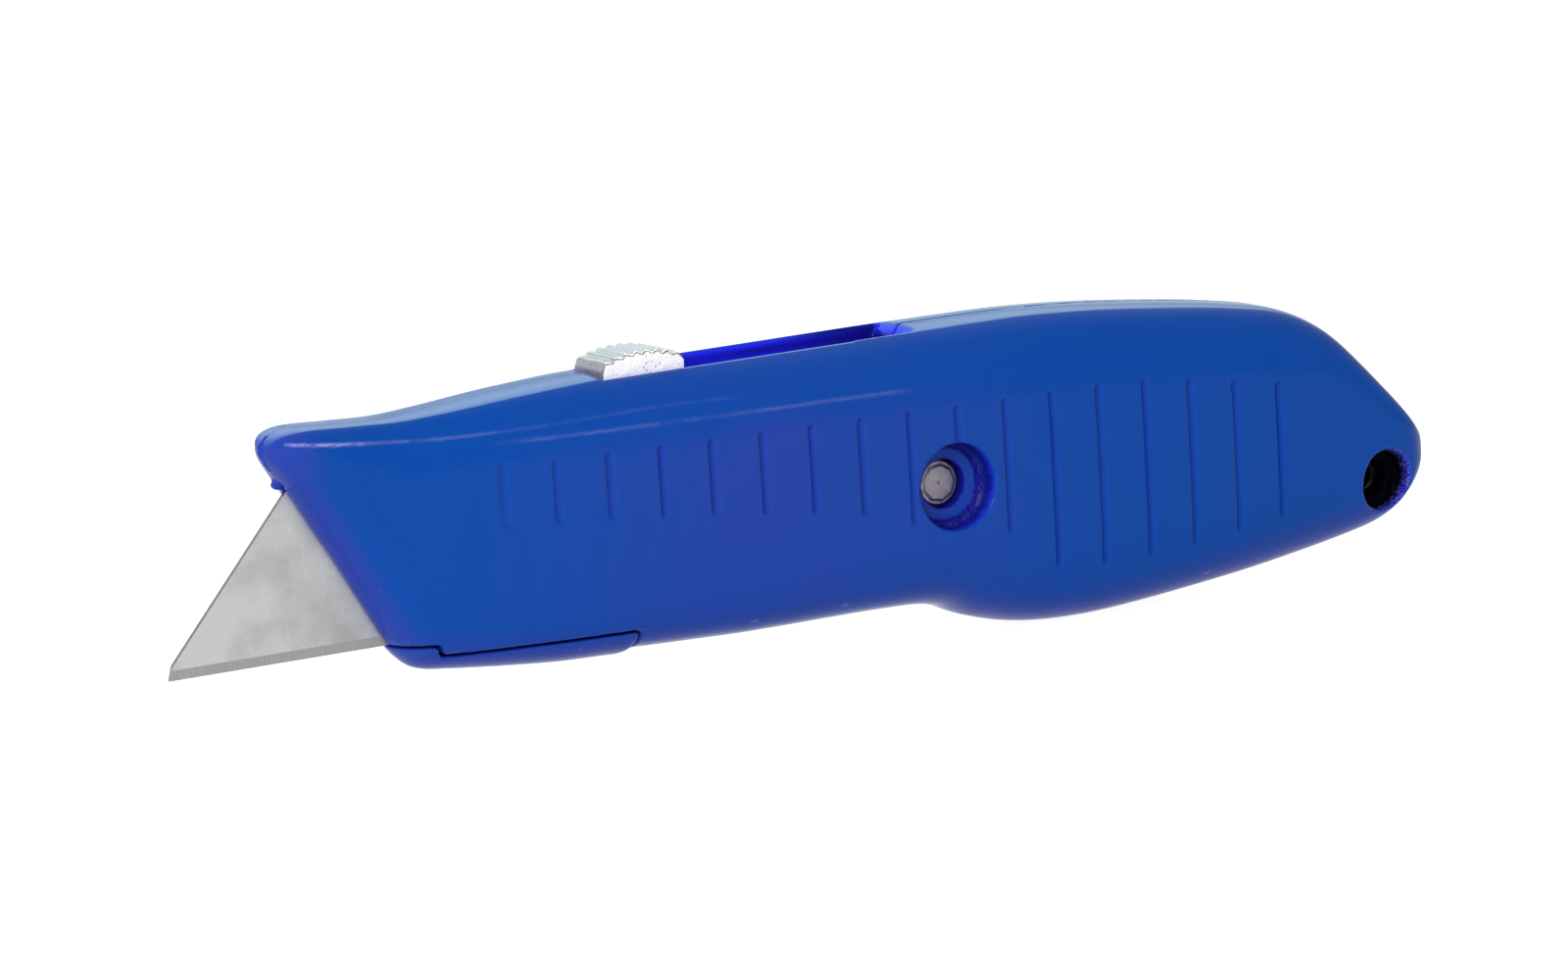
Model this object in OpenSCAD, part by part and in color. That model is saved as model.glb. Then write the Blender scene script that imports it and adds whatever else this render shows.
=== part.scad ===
// Retractable utility knife with a two-piece die-cast handle.
// Millimetres. The origin is the centre of the lanyard hole, on the parting plane between
// the two handle halves. X runs along the handle with the blade towards -X, Z is up, and
// the left half of the handle is on the -Y side.

/* [Handle] */
// Greatest thickness of the closed handle
handle_thickness = 20; // [19:0.5:22]
// Thickness of the cast walls
wall = 2; // [1.8:0.1:2.2]
// Width of the slot that the thumb button slides in
slot_width = 7.6; // [7.2:0.1:7.8]
// Number of grip grooves on each side
groove_count = 17; // [1:1:17]
// Distance from one grip groove to the next
groove_pitch = 6.32; // [5.5:0.01:6.32]
// Width of a grip groove
groove_width = 0.9; // [0.6:0.1:1.4]
// Depth of a grip groove
groove_depth = 0.35; // [0.1:0.05:0.5]

/* [Lanyard hole] */
// Diameter of the hole through the inner wall
lanyard_d = 4; // [3:0.5:5]
// Diameter of the counterbore on each side
lanyard_mouth_d = 7; // [6:0.5:7.5]
// Length of the inner wall that the hole runs through
lanyard_wall = 6.8; // [5:0.1:8]

/* [Blade] */
// Length of the cutting edge
blade_length = 61; // [60:0.5:61]
// Height of the blade from its cutting edge to its back
blade_height = 19; // [18.5:0.1:19]
// Thickness of the blade
blade_t = 0.6; // [0.4:0.05:0.65]
// Angle of the blade's two slanted ends
blade_angle = 48.7; // [45:0.1:52]
// Height of the ground bevel
bevel = 1.2; // [0.8:0.1:2]
// How far the blade draws back into the handle
blade_travel = 27.5; // [20:0.5:27.5]

/* [Thumb button] */
// Length of the button along the slot
button_length = 10.3; // [9:0.1:10.5]
// Width of the button across the slot
button_width = 6.7; // [6:0.1:6.8]
// Radius of its arched top
button_arch_r = 13.2; // [12:0.1:16]
// Number of ridges across its top
button_ridges = 8; // [4:1:12]
// How far it can be pressed down
button_travel = 0.9; // [0.5:0.1:0.9]

/* [Body screw] */
// Diameter of the shank
screw_d = 5.2; // [4:0.1:5.2]
// Diameter of the slotted head
screw_head_d = 8.4; // [7:0.1:8.6]

/* [Hidden] */
$fn = 48;

blue = [0.13, 0.27, 0.64];
steel = [0.66, 0.67, 0.69];
cast = [0.78, 0.79, 0.81];

// Side view of the handle: the height of the ridge line and of the keel line along X
nose_x = -142.9;
tail_x = 7.2;
ridge = [[-142.9, 22.3], [-142.5, 23.3], [-141.2, 24.15], [-139, 24.55], [-134, 24.35],
    [-128, 24.1], [-122, 24.4], [-112, 25.25], [-104, 25.7], [-86, 25.77], [-50, 25.8],
    [-39, 25.3], [-28, 24.2], [-18, 22.83], [-11.5, 21.4], [-6.5, 18.87], [-2, 14.82],
    [5.4, 6.78], [6.8, 4.6], [7.2, 2.6]];
keel = [[-142.9, 22.1], [-142.4, 21], [-141, 18.8], [-140, 17.2], [-134.7, 8.5],
    [-129.2, -0.9], [-128, -2.5], [-126.2, -3.9], [-123, -4.5], [-111, -5.6], [-104, -5.85],
    [-102.4, -5.85], [-101, -5.45], [-99, -5.5], [-92, -5.7], [-86, -5.85], [-66, -5.9],
    [-60.5, -6.5], [-55.5, -8.5], [-50.5, -9.8], [-45, -10.4], [-38, -10.4], [-25, -9.4],
    [-14, -8.2], [-2.5, -6.4], [2, -5], [5.2, -2.2], [6.8, 0.6], [7.2, 2.4]];
// Top view: half the handle's thickness along X, as a share of its greatest
breadth = [[-142.9, 0.05], [-142.5, 0.19], [-141.4, 0.34], [-139.4, 0.45], [-136, 0.51],
    [-130, 0.58], [-120, 0.71], [-105, 0.88], [-90, 0.96], [-70, 1], [-40, 1], [-20, 0.92],
    [-8, 0.81], [0, 0.7], [3.6, 0.61], [5.8, 0.45], [6.8, 0.27], [7.2, 0.06]];
// How square the upper and lower corners of a cross-section are
upper_square = 4.7;
// How flat the crown is: 2 is an oval, and the left half is rounder beside the slot
crown_right = [[-142.9, 3], [-130, 3.8], [-118, 3.8], [-106, 3], [7.2, 3]];
crown_left = [[-142.9, 3], [-130, 3.8], [-118, 3.8], [-105.5, 3], [-101.5, 1.9], [-90, 1.8],
    [-68, 1.8], [-60, 2.6], [-40, 2.8], [7.2, 3]];
keel_round = 2;
keel_square = [[-143, 2], [-140, 2.2], [-130, 2.6], [-124, 5], [-110, 7], [-50, 6], [-5, 4],
    [7.2, 2.5]];
ring_points = 14;

// Smooth curve through a list of [x, value] pairs
function span_of(x, p, i = 0) = (i >= len(p) - 2 || x < p[i + 1][0]) ? i : span_of(x, p, i + 1);
function slope(p, i) =
    let (a = max(i - 1, 0), b = min(i + 1, len(p) - 1)) (p[b][1] - p[a][1]) / (p[b][0] - p[a][0]);
function curve(x, p) =
    let (i = span_of(x, p), h = p[i + 1][0] - p[i][0], t = (x - p[i][0]) / h,
        m0 = slope(p, i) * h, m1 = slope(p, i + 1) * h)
    (2 * t ^ 3 - 3 * t ^ 2 + 1) * p[i][1] + (t ^ 3 - 2 * t ^ 2 + t) * m0
    + (3 * t ^ 2 - 2 * t ^ 3) * p[i + 1][1] + (t ^ 3 - t ^ 2) * m1;

// One cross-section: half an oval with squared corners, from the ridge to the keel
function half_ring(side, x, inset, seam) =
    let (top = curve(x, ridge) - inset, low = curve(x, keel) + inset, mid = (top + low) / 2,
        w = curve(x, breadth) * handle_thickness / 2 - inset,
        crown = curve(x, side < 0 ? crown_left : crown_right))
    [for (j = [0 : ring_points])
        let (u = cos(180 * j / ring_points), square = u > 0 ? upper_square : curve(x, keel_square),
            flat = u > 0 ? crown : keel_round)
        [x, (j == 0 || j == ring_points) ? seam : max(w * (1 - abs(u) ^ square) ^ (1 / flat), 0.02),
            mid + (top - low) / 2 * u]];
// Stations along X, close together at the ends where the shape turns fast
function stations(from, to, count) =
    [for (i = [0 : count]) (from + to) / 2 - (to - from) / 2 * (0.5 * cos(180 * i / count)
        + 0.5 * (1 - 2 * i / count))];

// Half of the handle's outer shape, or of its hollow when inset is the wall
module half_loft(side, inset = 0, from = nose_x, to = tail_x, count = 52, seam = 0) {
    xs = stations(from, to, count);
    rings = [for (x = xs) for (p = half_ring(side, x, inset, seam)) [p[0], side * p[1], p[2]]];
    n = ring_points + 1;
    first = [for (j = [0 : n - 1]) j];
    last = [for (j = [n - 1 : -1 : 0]) count * n + j];
    quads = [for (i = [0 : count - 1]) for (j = [0 : n - 1])
        let (a = i * n + j, b = i * n + (j + 1) % n) [a, a + n, b + n, b]];
    faces = concat([first], [last], quads);
    flipped = [for (f = faces) [for (k = [len(f) - 1 : -1 : 0]) f[k]]];
    polyhedron(rings, side > 0 ? flipped : faces, convexity = 6);
}

// Draws a flat XZ outline as a slab between two Y values
module slab(y0, y1) translate([0, y1, 0]) rotate([90, 0, 0]) linear_extrude(y1 - y0) children();
// A block from its two opposite corners
module block(a, b) translate(a) cube(b - a);
// A cylinder along Y between two Y values
module y_rod(x, z, r, y0, y1) translate([x, y1, z]) rotate([90, 0, 0]) cylinder(r = r, h = y1 - y0);

screw_x = -61;
screw_z = 8.2;
blade_tip_x = -155.7;
edge_z = -1.05;
play = 0.15;
carrier_y = [0.4, 3];

// The keel of the right half wraps under the left half at the front
lip_end_x = -101.5;
lip_step_x = -125.1;
lip_gap = 0.2;
module lip_outline(gap = 0)
    polygon([[-131, -0.9 - gap], [lip_step_x - gap, -0.85 - gap], [lip_step_x + 0.6 - gap, -2.15 - gap],
        [lip_end_x - gap, -2.25 - gap], [lip_end_x - gap, -7], [-131, -7]]);

// Small bead under the nose, which locks the left half to the right one
bead_x = -140.7;
bead_z = 18.2;
bead_r = 0.55;
bead_reach = 0.4;

// Heights of the grooves' upper and lower ends along X
function groove_x(i) = -117.4 + groove_pitch * i;
groove_tops = [[-117.4, 18.2], [-60, 17.5], [-35, 17], [-16, 14.2]];
groove_feet = [[-117.4, 11.2], [-98, 9.9], [-73, 6.6], [-66.7, 4.6], [-54.2, 2], [-48, -2.8],
    [-29, -3.1], [-16, -1.6]];
module grooves(side) {
    for (i = [0 : groove_count - 1]) {
        x = groove_x(i);
        top = curve(x, groove_tops) - groove_width / 2;
        foot = curve(x, groove_feet) + groove_width / 2;
        mid = curve(x, breadth) * handle_thickness / 2;
        y0 = side > 0 ? mid - groove_depth : -mid - 1;
        slab(y0, y0 + 1 + groove_depth) {
            translate([x - groove_width / 2, foot]) square([groove_width, top - foot]);
            translate([x, foot]) circle(d = groove_width);
            translate([x, top]) circle(d = groove_width);
        }
    }
}

// Everything that is cut out of both halves
module slot_cut() slab(-slot_width / 2, slot_width / 2)
    polygon([[-102.6, 20], [-102.6, 30], [-61.1, 30], [-61.4, 26],
        [-62, 25.2], [-62.6, 24.4], [-62.9, 23.4], [-62.9, 20]]);
module blade_room() block([-146, -blade_t / 2 - play, edge_z - 0.25],
    [-64, blade_t / 2 + play, edge_z + blade_height + 0.25]);
module spare_room() slab(-2.1, 2.1) spare_place() room_outline(0.4);
module room_outline(gap) polygon([[-gap, -gap], [-gap, tip_h / 2], [tip_x - gap, tip_h + gap],
    [blade_slant - gap, blade_height + gap], [blade_length - blade_slant + gap, blade_height + gap],
    [blade_length - tip_x + gap, tip_h + gap], [blade_length + gap, tip_h / 2],
    [blade_length + gap, -gap]]);
module deck_room() block([-104.6, -3.2, 18], [-57, 3.2, 22]);
module lanyard_cut() {
    y_rod(0, 0, lanyard_d / 2, -12, 12);
    y_rod(0, 0, lanyard_mouth_d / 2, lanyard_wall / 2, 12);
    y_rod(0, 0, lanyard_mouth_d / 2, -12, -lanyard_wall / 2);
}

// Inner ribs that guide the blade, reaching from the side wall to the blade
rib_ys = [[-121, 5.4], [-105, 7.2], [-88, 8.1], [-68, 8.5]];
module rib(side, z, from, reach) translate([0, 0, z]) linear_extrude(1.2)
    polygon(concat([for (p = rib_ys) [max(p[0], from), side * p[1]]],
        [[-68, side * reach], [from, side * reach]]));

module half_shell(side) {
    difference() {
        half_loft(side);
        half_loft(side, inset = wall, from = -121, to = -7, count = 40, seam = -1);
    }
    // floor that the blade's edge runs above
    block([-122, side > 0 ? 0 : -3, -4.5], [-66, side > 0 ? 3 : 0, edge_z - 0.25]);
}

// Stepped recess round the threaded end of the screw: its floor, its ledge and their radii
recess_floor = 6.8;
recess_floor_r = 4.4;
recess_ledge = 7.8;
recess_mouth_r = 5;
module recess(depth, r) translate([screw_x, -depth, screw_z]) rotate([90, 0, 0])
    cylinder(r1 = r - 0.1, r2 = r, h = 3);
module body_left() {
    rib_reach = blade_t / 2 + play;
    color(blue) difference() {
        union() {
            half_shell(-1);
            rib(-1, 2.5, -121, rib_reach);
            rib(-1, 11.5, -121, rib_reach);
            y_rod(screw_x, screw_z, 4.6, -8.8, 0);
            y_rod(screw_x, screw_z, 6.6, -9.4, -3.4);
        }
        blade_room();
        slot_cut();
        spare_room();
        lanyard_cut();
        grooves(-1);
        slab(-12, 1) lip_outline();
        y_rod(bead_x, bead_z, bead_r + 0.12, -bead_reach - 0.12, 1);
        // room for the carrier's two lugs, and for the button's flange
        block([-131.4, -1.3, 15.4], [-88, 1, 18.2]);
        block([-104.6, -flange_y - 0.3, 19], [-57, 0, flange_z[1] + 0.2]);
        recess(recess_floor, recess_floor_r);
        recess(recess_ledge, recess_mouth_r);
        y_rod(screw_x, screw_z, screw_d / 2 + 0.02, -7, 1);
    }
}

module body_right() {
    color(blue) difference() {
        union() {
            difference() {
                union() {
                    half_shell(1);
                    rib(1, 2.5, -121, blade_t / 2 + play);
                    rib(1, 10.5, -121, blade_t / 2 + play);
                    y_rod(screw_x, screw_z, 4.6, 0, 8.8);
                    y_rod(screw_x, screw_z, 6.6, 3.6, 9.4);
                }
                grooves(1);
            }
            // lip that wraps under the left half
            intersection() {
                half_loft(-1);
                slab(-12, 0) lip_outline(lip_gap);
            }
            // small bead under the nose
            y_rod(bead_x, bead_z, bead_r, -bead_reach, 1.4);
        }
        blade_room();
        slot_cut();
        spare_room();
        lanyard_cut();
        // channel for the carrier
        block([-133, -0.1, 13.3], [-56.6, carrier_y[1] + play, 18.6]);
        deck_room();
        // detent notches under the ceiling, one for each blade position
        for (i = [0 : 3])
            translate([-97 + i * blade_travel / 3, 3.4, 22]) cube([1.6, 1.6, 1.4]);
        y_rod(screw_x, screw_z, screw_d / 2 + 0.2, -1, 12);
        y_rod(screw_x, screw_z, screw_head_d / 2 + 0.2, 6.2, 12);
    }
}

module body_screw() {
    head_y = [6.2, 8.6];
    color(steel) difference() {
        union() {
            y_rod(screw_x, screw_z, screw_d / 2, -5.5, head_y[0]);
            y_rod(screw_x, screw_z, screw_head_d / 2, head_y[0], head_y[1]);
            translate([screw_x, -5.5, screw_z]) rotate([90, 0, 0])
                cylinder(r1 = screw_d / 2, r2 = screw_d / 2 - 0.7, h = 0.5);
        }
        block([screw_x - 6, head_y[1] - 1.2, screw_z - 0.6], [screw_x + 6, head_y[1] + 1, screw_z + 0.6]);
    }
}

// Blade outline with its edge on X and its front tip at the origin
tip_x = 0.55;
tip_h = 1.6;
blade_slant = tip_x + (blade_height - tip_h) / tan(blade_angle);
notch_offset = 4.5;
notch_d = 2.4;
notch_depth = 2.3;
module blade_outline() difference() {
    polygon([[0, 0], [tip_x, tip_h], [blade_slant, blade_height],
        [blade_length - blade_slant, blade_height], [blade_length - tip_x, tip_h],
        [blade_length, 0]]);
    for (s = [-1, 1]) translate([blade_length / 2 + s * notch_offset, 0]) {
        translate([0, blade_height - notch_depth + notch_d / 2]) circle(d = notch_d);
        translate([-notch_d / 2, blade_height - notch_depth + notch_d / 2])
            square([notch_d, notch_depth]);
    }
}
module one_blade() intersection() {
    slab(-blade_t / 2, blade_t / 2) blade_outline();
    // cross-section with the ground edge, run along X
    rotate([90, 0, 90]) linear_extrude(blade_length)
        polygon([[-0.02, 0], [0.02, 0], [blade_t / 2, bevel], [blade_t / 2, blade_height],
            [-blade_t / 2, blade_height], [-blade_t / 2, bevel]]);
}
module blade() color(steel) translate([blade_tip_x, 0, edge_z]) one_blade();

// Spare blades lie side by side behind the screw, edge down
spare_x = -64.5;
spare_z = -3.4;
spare_tilt = -1.4;
spare_count = 5;
module spare_place() translate([spare_x, spare_z]) rotate(spare_tilt) children();
module spare_blade(i) {
    y = (i - (spare_count + 1) / 2) * (blade_t + 0.06);
    color(steel) translate([spare_x, y, spare_z]) rotate([0, -spare_tilt, 0]) one_blade();
}

// The carrier holds the blade by two lugs and carries the button on its deck
notch_mid_x = blade_tip_x + blade_length / 2;
deck_top = 20.2;
post_x = -96.3;
post_r = 1.5;
module blade_carrier() color(cast) {
    slab(carrier_y[0], carrier_y[1])
        polygon([[-132.4, 15], [-131, 13.6], [-89.5, 13.6], [-88.5, 14.6], [-88.5, 18.3], [-132.4, 18.3]]);
    block([-104, -2.9, 18.3], [-88.5, carrier_y[1], deck_top]);
    for (s = [-1, 1]) {
        x = notch_mid_x + s * notch_offset;
        block([x - 1, -0.95, 16.3], [x + 1, carrier_y[0], 17.9]);
    }
    translate([post_x, 0, deck_top]) cylinder(r = post_r, h = 2.6);
}

// Thumb button: ridged arch above the slot, flange below the slot
button_front = -101.85;
button_front_top = 25.95;
button_back_top = 26.4;
button_peak = 27.85;
flange_z = [21.6, 22.5];
flange_y = 4.2;
arch_x = button_front + button_length / 2;
arch_z = button_peak - button_arch_r;
arch_span = asin(button_length / 2 / button_arch_r) - 3;
function arch(a, r) = [arch_x + r * sin(a), arch_z + r * cos(a)];
module button_outline() {
    step = 2 * arch_span / button_ridges;
    polygon(concat([[button_front, flange_z[0]], [button_front, button_front_top]],
        [for (i = [0 : button_ridges - 1]) let (a = -arch_span + i * step)
            each [arch(a, button_arch_r - 0.3), arch(a + step * 0.45, button_arch_r)]],
        [[button_front + button_length, button_back_top],
            [button_front + button_length, flange_z[0]]]));
}
module thumb_button() color(cast) difference() {
    union() {
        slab(-button_width / 2, button_width / 2) button_outline();
        block([button_front - 1.5, -flange_y, flange_z[0]],
            [button_front + button_length + 1.5, flange_y, flange_z[1]]);
        // detent tooth
        block([-96.9, flange_y, flange_z[0]], [-95.7, flange_y + 0.4, 22.2]);
    }
    translate([post_x, 0, flange_z[0] - 1]) cylinder(r = post_r + 0.15, h = 4.2);
}

// Bowed leaf spring between the deck and the button
spring_half = 4.4;
spring_t = 0.25;
module button_spring() {
    rise = flange_z[0] - deck_top - spring_t - 0.04;
    bow = [for (i = [-8 : 8]) let (x = spring_half * i / 8) [x, rise * cos(90 * x / spring_half)]];
    color(steel) difference() {
        translate([post_x, 0, deck_top + 0.02]) slab(-1.95, 1.95)
            polygon(concat(bow, [for (i = [len(bow) - 1 : -1 : 0]) bow[i] + [0, spring_t]]));
        translate([post_x, 0, deck_top - 1]) cylinder(r = post_r + 0.1, h = 4);
    }
}

body_left();
body_right();
body_screw();
blade();
blade_carrier();
thumb_button();
button_spring();
for (i = [1 : spare_count])
    spare_blade(i);
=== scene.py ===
import math

import bmesh
import bpy
import numpy as np
from mathutils import Matrix, Vector


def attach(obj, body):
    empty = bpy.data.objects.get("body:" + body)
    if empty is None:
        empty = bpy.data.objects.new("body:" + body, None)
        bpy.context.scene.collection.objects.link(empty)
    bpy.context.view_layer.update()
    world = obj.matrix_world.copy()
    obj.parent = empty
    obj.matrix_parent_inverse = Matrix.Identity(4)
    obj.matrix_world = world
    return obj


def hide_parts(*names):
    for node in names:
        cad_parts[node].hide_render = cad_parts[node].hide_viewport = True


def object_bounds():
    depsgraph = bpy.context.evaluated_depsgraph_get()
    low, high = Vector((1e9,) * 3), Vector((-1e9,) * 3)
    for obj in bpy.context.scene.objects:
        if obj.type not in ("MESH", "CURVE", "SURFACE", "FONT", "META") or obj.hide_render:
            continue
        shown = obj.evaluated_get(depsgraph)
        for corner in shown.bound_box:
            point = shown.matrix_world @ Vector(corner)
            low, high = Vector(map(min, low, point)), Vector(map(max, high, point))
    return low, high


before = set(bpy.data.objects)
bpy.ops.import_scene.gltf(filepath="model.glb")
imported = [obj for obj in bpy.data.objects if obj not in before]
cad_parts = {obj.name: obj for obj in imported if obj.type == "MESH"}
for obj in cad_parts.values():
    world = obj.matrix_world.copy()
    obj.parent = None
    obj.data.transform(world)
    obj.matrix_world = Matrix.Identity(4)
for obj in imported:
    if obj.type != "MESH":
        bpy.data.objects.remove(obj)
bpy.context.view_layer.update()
mm = 0.001
print("frame loaded")


# A function that runs smoothly through the points, which rise along X.
def smoothCurve(points):
    px, pv = np.array(points, float).T
    slopes = np.empty(len(px))
    slopes[1:-1] = (pv[2:] - pv[:-2]) / (px[2:] - px[:-2])
    slopes[0] = (pv[1] - pv[0]) / (px[1] - px[0])
    slopes[-1] = (pv[-1] - pv[-2]) / (px[-1] - px[-2])

    def value(x):
        x = np.clip(np.asarray(x, float), px[0], px[-1])
        i = np.clip(np.searchsorted(px, x, side="right") - 1, 0, len(px) - 2)
        h = px[i + 1] - px[i]
        t = (x - px[i]) / h
        return ((2 * t**3 - 3 * t**2 + 1) * pv[i] + (t**3 - 2 * t**2 + t) * slopes[i] * h
                + (3 * t**2 - 2 * t**3) * pv[i + 1] + (t**3 - t**2) * slopes[i + 1] * h)

    return value


# 0 before start, 1 after end, smooth between
def fade(x, start, end):
    t = np.clip((x - start) / (end - start), 0, 1)
    return t * t * (3 - 2 * t)


def meshPiece(name, points, faces):
    mesh = bpy.data.meshes.new(name)
    mesh.from_pydata([tuple(p) for p in np.asarray(points, float) * mm], [], faces)
    made = bmesh.new()
    made.from_mesh(mesh)
    bmesh.ops.recalc_face_normals(made, faces=made.faces)
    made.to_mesh(mesh)
    made.free()
    piece = bpy.data.objects.new(name, mesh)
    bpy.context.scene.collection.objects.link(piece)
    return piece


# A closed solid between two matching rings of points
def prism(first, last):
    n = len(first)
    faces = [tuple(range(n)), tuple(range(n, 2 * n))]
    faces += [(i, (i + 1) % n, n + (i + 1) % n, n + i) for i in range(n)]
    return meshPiece("tool", [*first, *last], faces)


# A side-view outline as a solid between two Y values
def slab(outline, y0, y1):
    return prism(*([(x, y, z) for x, z in outline] for y in (y0, y1)))


def block(low, high):
    return slab([(low[0], low[2]), (high[0], low[2]), (high[0], high[2]), (low[0], high[2])], low[1], high[1])


# A solid turned about a Y axis from its (radius, y) profile
def turned(profile, x, z, sides=96):
    angles = np.linspace(0, 2 * math.pi, sides, endpoint=False)
    points = [(x + r * math.cos(a), y, z + r * math.sin(a)) for r, y in profile for a in angles]
    rows = len(profile)
    faces = [(i * sides + j, i * sides + (j + 1) % sides, (i + 1) * sides + (j + 1) % sides,
              (i + 1) * sides + j) for i in range(rows - 1) for j in range(sides)]
    faces += [tuple(range(sides)), tuple((rows - 1) * sides + j for j in range(sides))]
    return meshPiece("tool", points, faces)


def rod(x, z, radius, y0, y1):
    return turned([(radius, y0), (radius, y1)], x, z)


# An upright rod
def post(x, y, radius, z0, z1, sides=48):
    angles = np.linspace(0, 2 * math.pi, sides, endpoint=False)
    ring = [(x + radius * math.cos(a), y + radius * math.sin(a)) for a in angles]
    return prism(*([(px, py, z) for px, py in ring] for z in (z0, z1)))


# Applies the piece's modifiers to its mesh
def bake(piece):
    graph = bpy.context.evaluated_depsgraph_get()
    old, piece.data = piece.data, bpy.data.meshes.new_from_object(piece.evaluated_get(graph))
    piece.modifiers.clear()
    bpy.data.meshes.remove(old)
    return piece


def carve(piece, tool, operation="DIFFERENCE"):
    step = piece.modifiers.new(operation, "BOOLEAN")
    step.operation = operation
    step.solver = "MANIFOLD"
    step.object = tool
    bake(piece)
    bpy.data.objects.remove(tool)
    return piece


def add(piece, tool):
    return carve(piece, tool, "UNION")


# Even mesh with the small round edges of a casting
def softenEdges(piece, voxel, smoothing):
    remesh = piece.modifiers.new("remesh", "REMESH")
    remesh.mode = "VOXEL"
    remesh.voxel_size = voxel * mm
    smooth = piece.modifiers.new("smooth", "SMOOTH")
    smooth.factor = 0.5
    smooth.iterations = smoothing
    return bake(piece)


def pointsOf(piece):
    values = np.empty(len(piece.data.vertices) * 3, np.float32)
    piece.data.vertices.foreach_get("co", values)
    return values.reshape(-1, 3).astype(float) / mm


def normalsOf(piece):
    values = np.empty(len(piece.data.vertices) * 3, np.float32)
    piece.data.vertices.foreach_get("normal", values)
    return values.reshape(-1, 3).astype(float)


def setPoints(piece, points):
    piece.data.vertices.foreach_set("co", (points * mm).astype(np.float32).ravel())
    piece.data.update()


def storeValue(piece, name, values):
    piece.data.attributes.new(name, "FLOAT", "POINT").data.foreach_set("value", values.astype(np.float32))


# Rounds the piece's sharp edges
def bevelEdges(piece, width, segments, angle):
    bevel = piece.modifiers.new("bevel", "BEVEL")
    bevel.width = width * mm
    bevel.segments = segments
    bevel.limit_method = "ANGLE"
    bevel.angle_limit = math.radians(angle)
    return bake(piece)


def setMaterials(piece, *finishes):
    piece.data.materials.clear()
    for finish in finishes:
        piece.data.materials.append(finish)


# Hangs the piece on its body and hides the CAD node it stands for
def assign(piece, body, node):
    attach(piece, body)
    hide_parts(node)


def nodeGroup(name, inputs, outputs):
    group = bpy.data.node_groups.new(name, "ShaderNodeTree")
    for label, kind, default in inputs:
        socket = group.interface.new_socket(label, in_out="INPUT", socket_type=kind)
        socket.default_value = default
    for label, kind in outputs:
        group.interface.new_socket(label, in_out="OUTPUT", socket_type=kind)
    return group, group.nodes.new("NodeGroupInput"), group.nodes.new("NodeGroupOutput")


def addNode(tree, kind, **values):
    made = tree.nodes.new(kind)
    for key, value in values.items():
        if hasattr(made, key):
            setattr(made, key, value)
        else:
            made.inputs[key.replace("_", " ")].default_value = value
    return made


# Fine noise of two sizes, as a height and as a mask of scattered specks
def makeGrainGroup():
    group, given, out = nodeGroup(
        "castGrain",
        [("Scale", "NodeSocketFloat", 900.0), ("Fine Scale", "NodeSocketFloat", 3000.0),
         ("Speck Amount", "NodeSocketFloat", 0.3)],
        [("Height", "NodeSocketFloat"), ("Specks", "NodeSocketFloat")])
    link = group.links.new
    place = addNode(group, "ShaderNodeTexCoord")
    broad = addNode(group, "ShaderNodeTexNoise", Detail=3.0)
    fine = addNode(group, "ShaderNodeTexNoise", Detail=2.0)
    total = addNode(group, "ShaderNodeMath", operation="MULTIPLY_ADD")
    total.inputs[1].default_value = 0.35
    limit = addNode(group, "ShaderNodeMath", operation="SUBTRACT")
    limit.inputs[0].default_value = 1.0
    spots = addNode(group, "ShaderNodeMath", operation="GREATER_THAN")
    link(place.outputs["Object"], broad.inputs["Vector"])
    link(place.outputs["Object"], fine.inputs["Vector"])
    link(given.outputs["Scale"], broad.inputs["Scale"])
    link(given.outputs["Fine Scale"], fine.inputs["Scale"])
    link(fine.outputs["Fac"], total.inputs[0])
    link(broad.outputs["Fac"], total.inputs[2])
    link(total.outputs[0], out.inputs["Height"])
    link(given.outputs["Speck Amount"], limit.inputs[1])
    link(fine.outputs["Fac"], spots.inputs[0])
    link(limit.outputs[0], spots.inputs[1])
    link(spots.outputs[0], out.inputs["Specks"])
    return group


# A mask of worn outer edges, broken up by noise
def makeEdgeGroup():
    group, given, out = nodeGroup(
        "edgeWear",
        [("Start", "NodeSocketFloat", 0.53), ("End", "NodeSocketFloat", 0.6),
         ("Breakup", "NodeSocketFloat", 300.0)],
        [("Mask", "NodeSocketFloat")])
    link = group.links.new
    shape = addNode(group, "ShaderNodeNewGeometry")
    place = addNode(group, "ShaderNodeTexCoord")
    noise = addNode(group, "ShaderNodeTexNoise", Detail=4.0)
    edge = addNode(group, "ShaderNodeMapRange", interpolation_type="SMOOTHSTEP")
    broken = addNode(group, "ShaderNodeMapRange", interpolation_type="SMOOTHSTEP")
    broken.inputs["From Min"].default_value = 0.42
    broken.inputs["From Max"].default_value = 0.62
    both = addNode(group, "ShaderNodeMath", operation="MULTIPLY")
    link(shape.outputs["Pointiness"], edge.inputs["Value"])
    link(given.outputs["Start"], edge.inputs["From Min"])
    link(given.outputs["End"], edge.inputs["From Max"])
    link(place.outputs["Object"], noise.inputs["Vector"])
    link(given.outputs["Breakup"], noise.inputs["Scale"])
    link(noise.outputs["Fac"], broken.inputs["Value"])
    link(edge.outputs["Result"], both.inputs[0])
    link(broken.outputs["Result"], both.inputs[1])
    link(both.outputs[0], out.inputs["Mask"])
    return group


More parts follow.
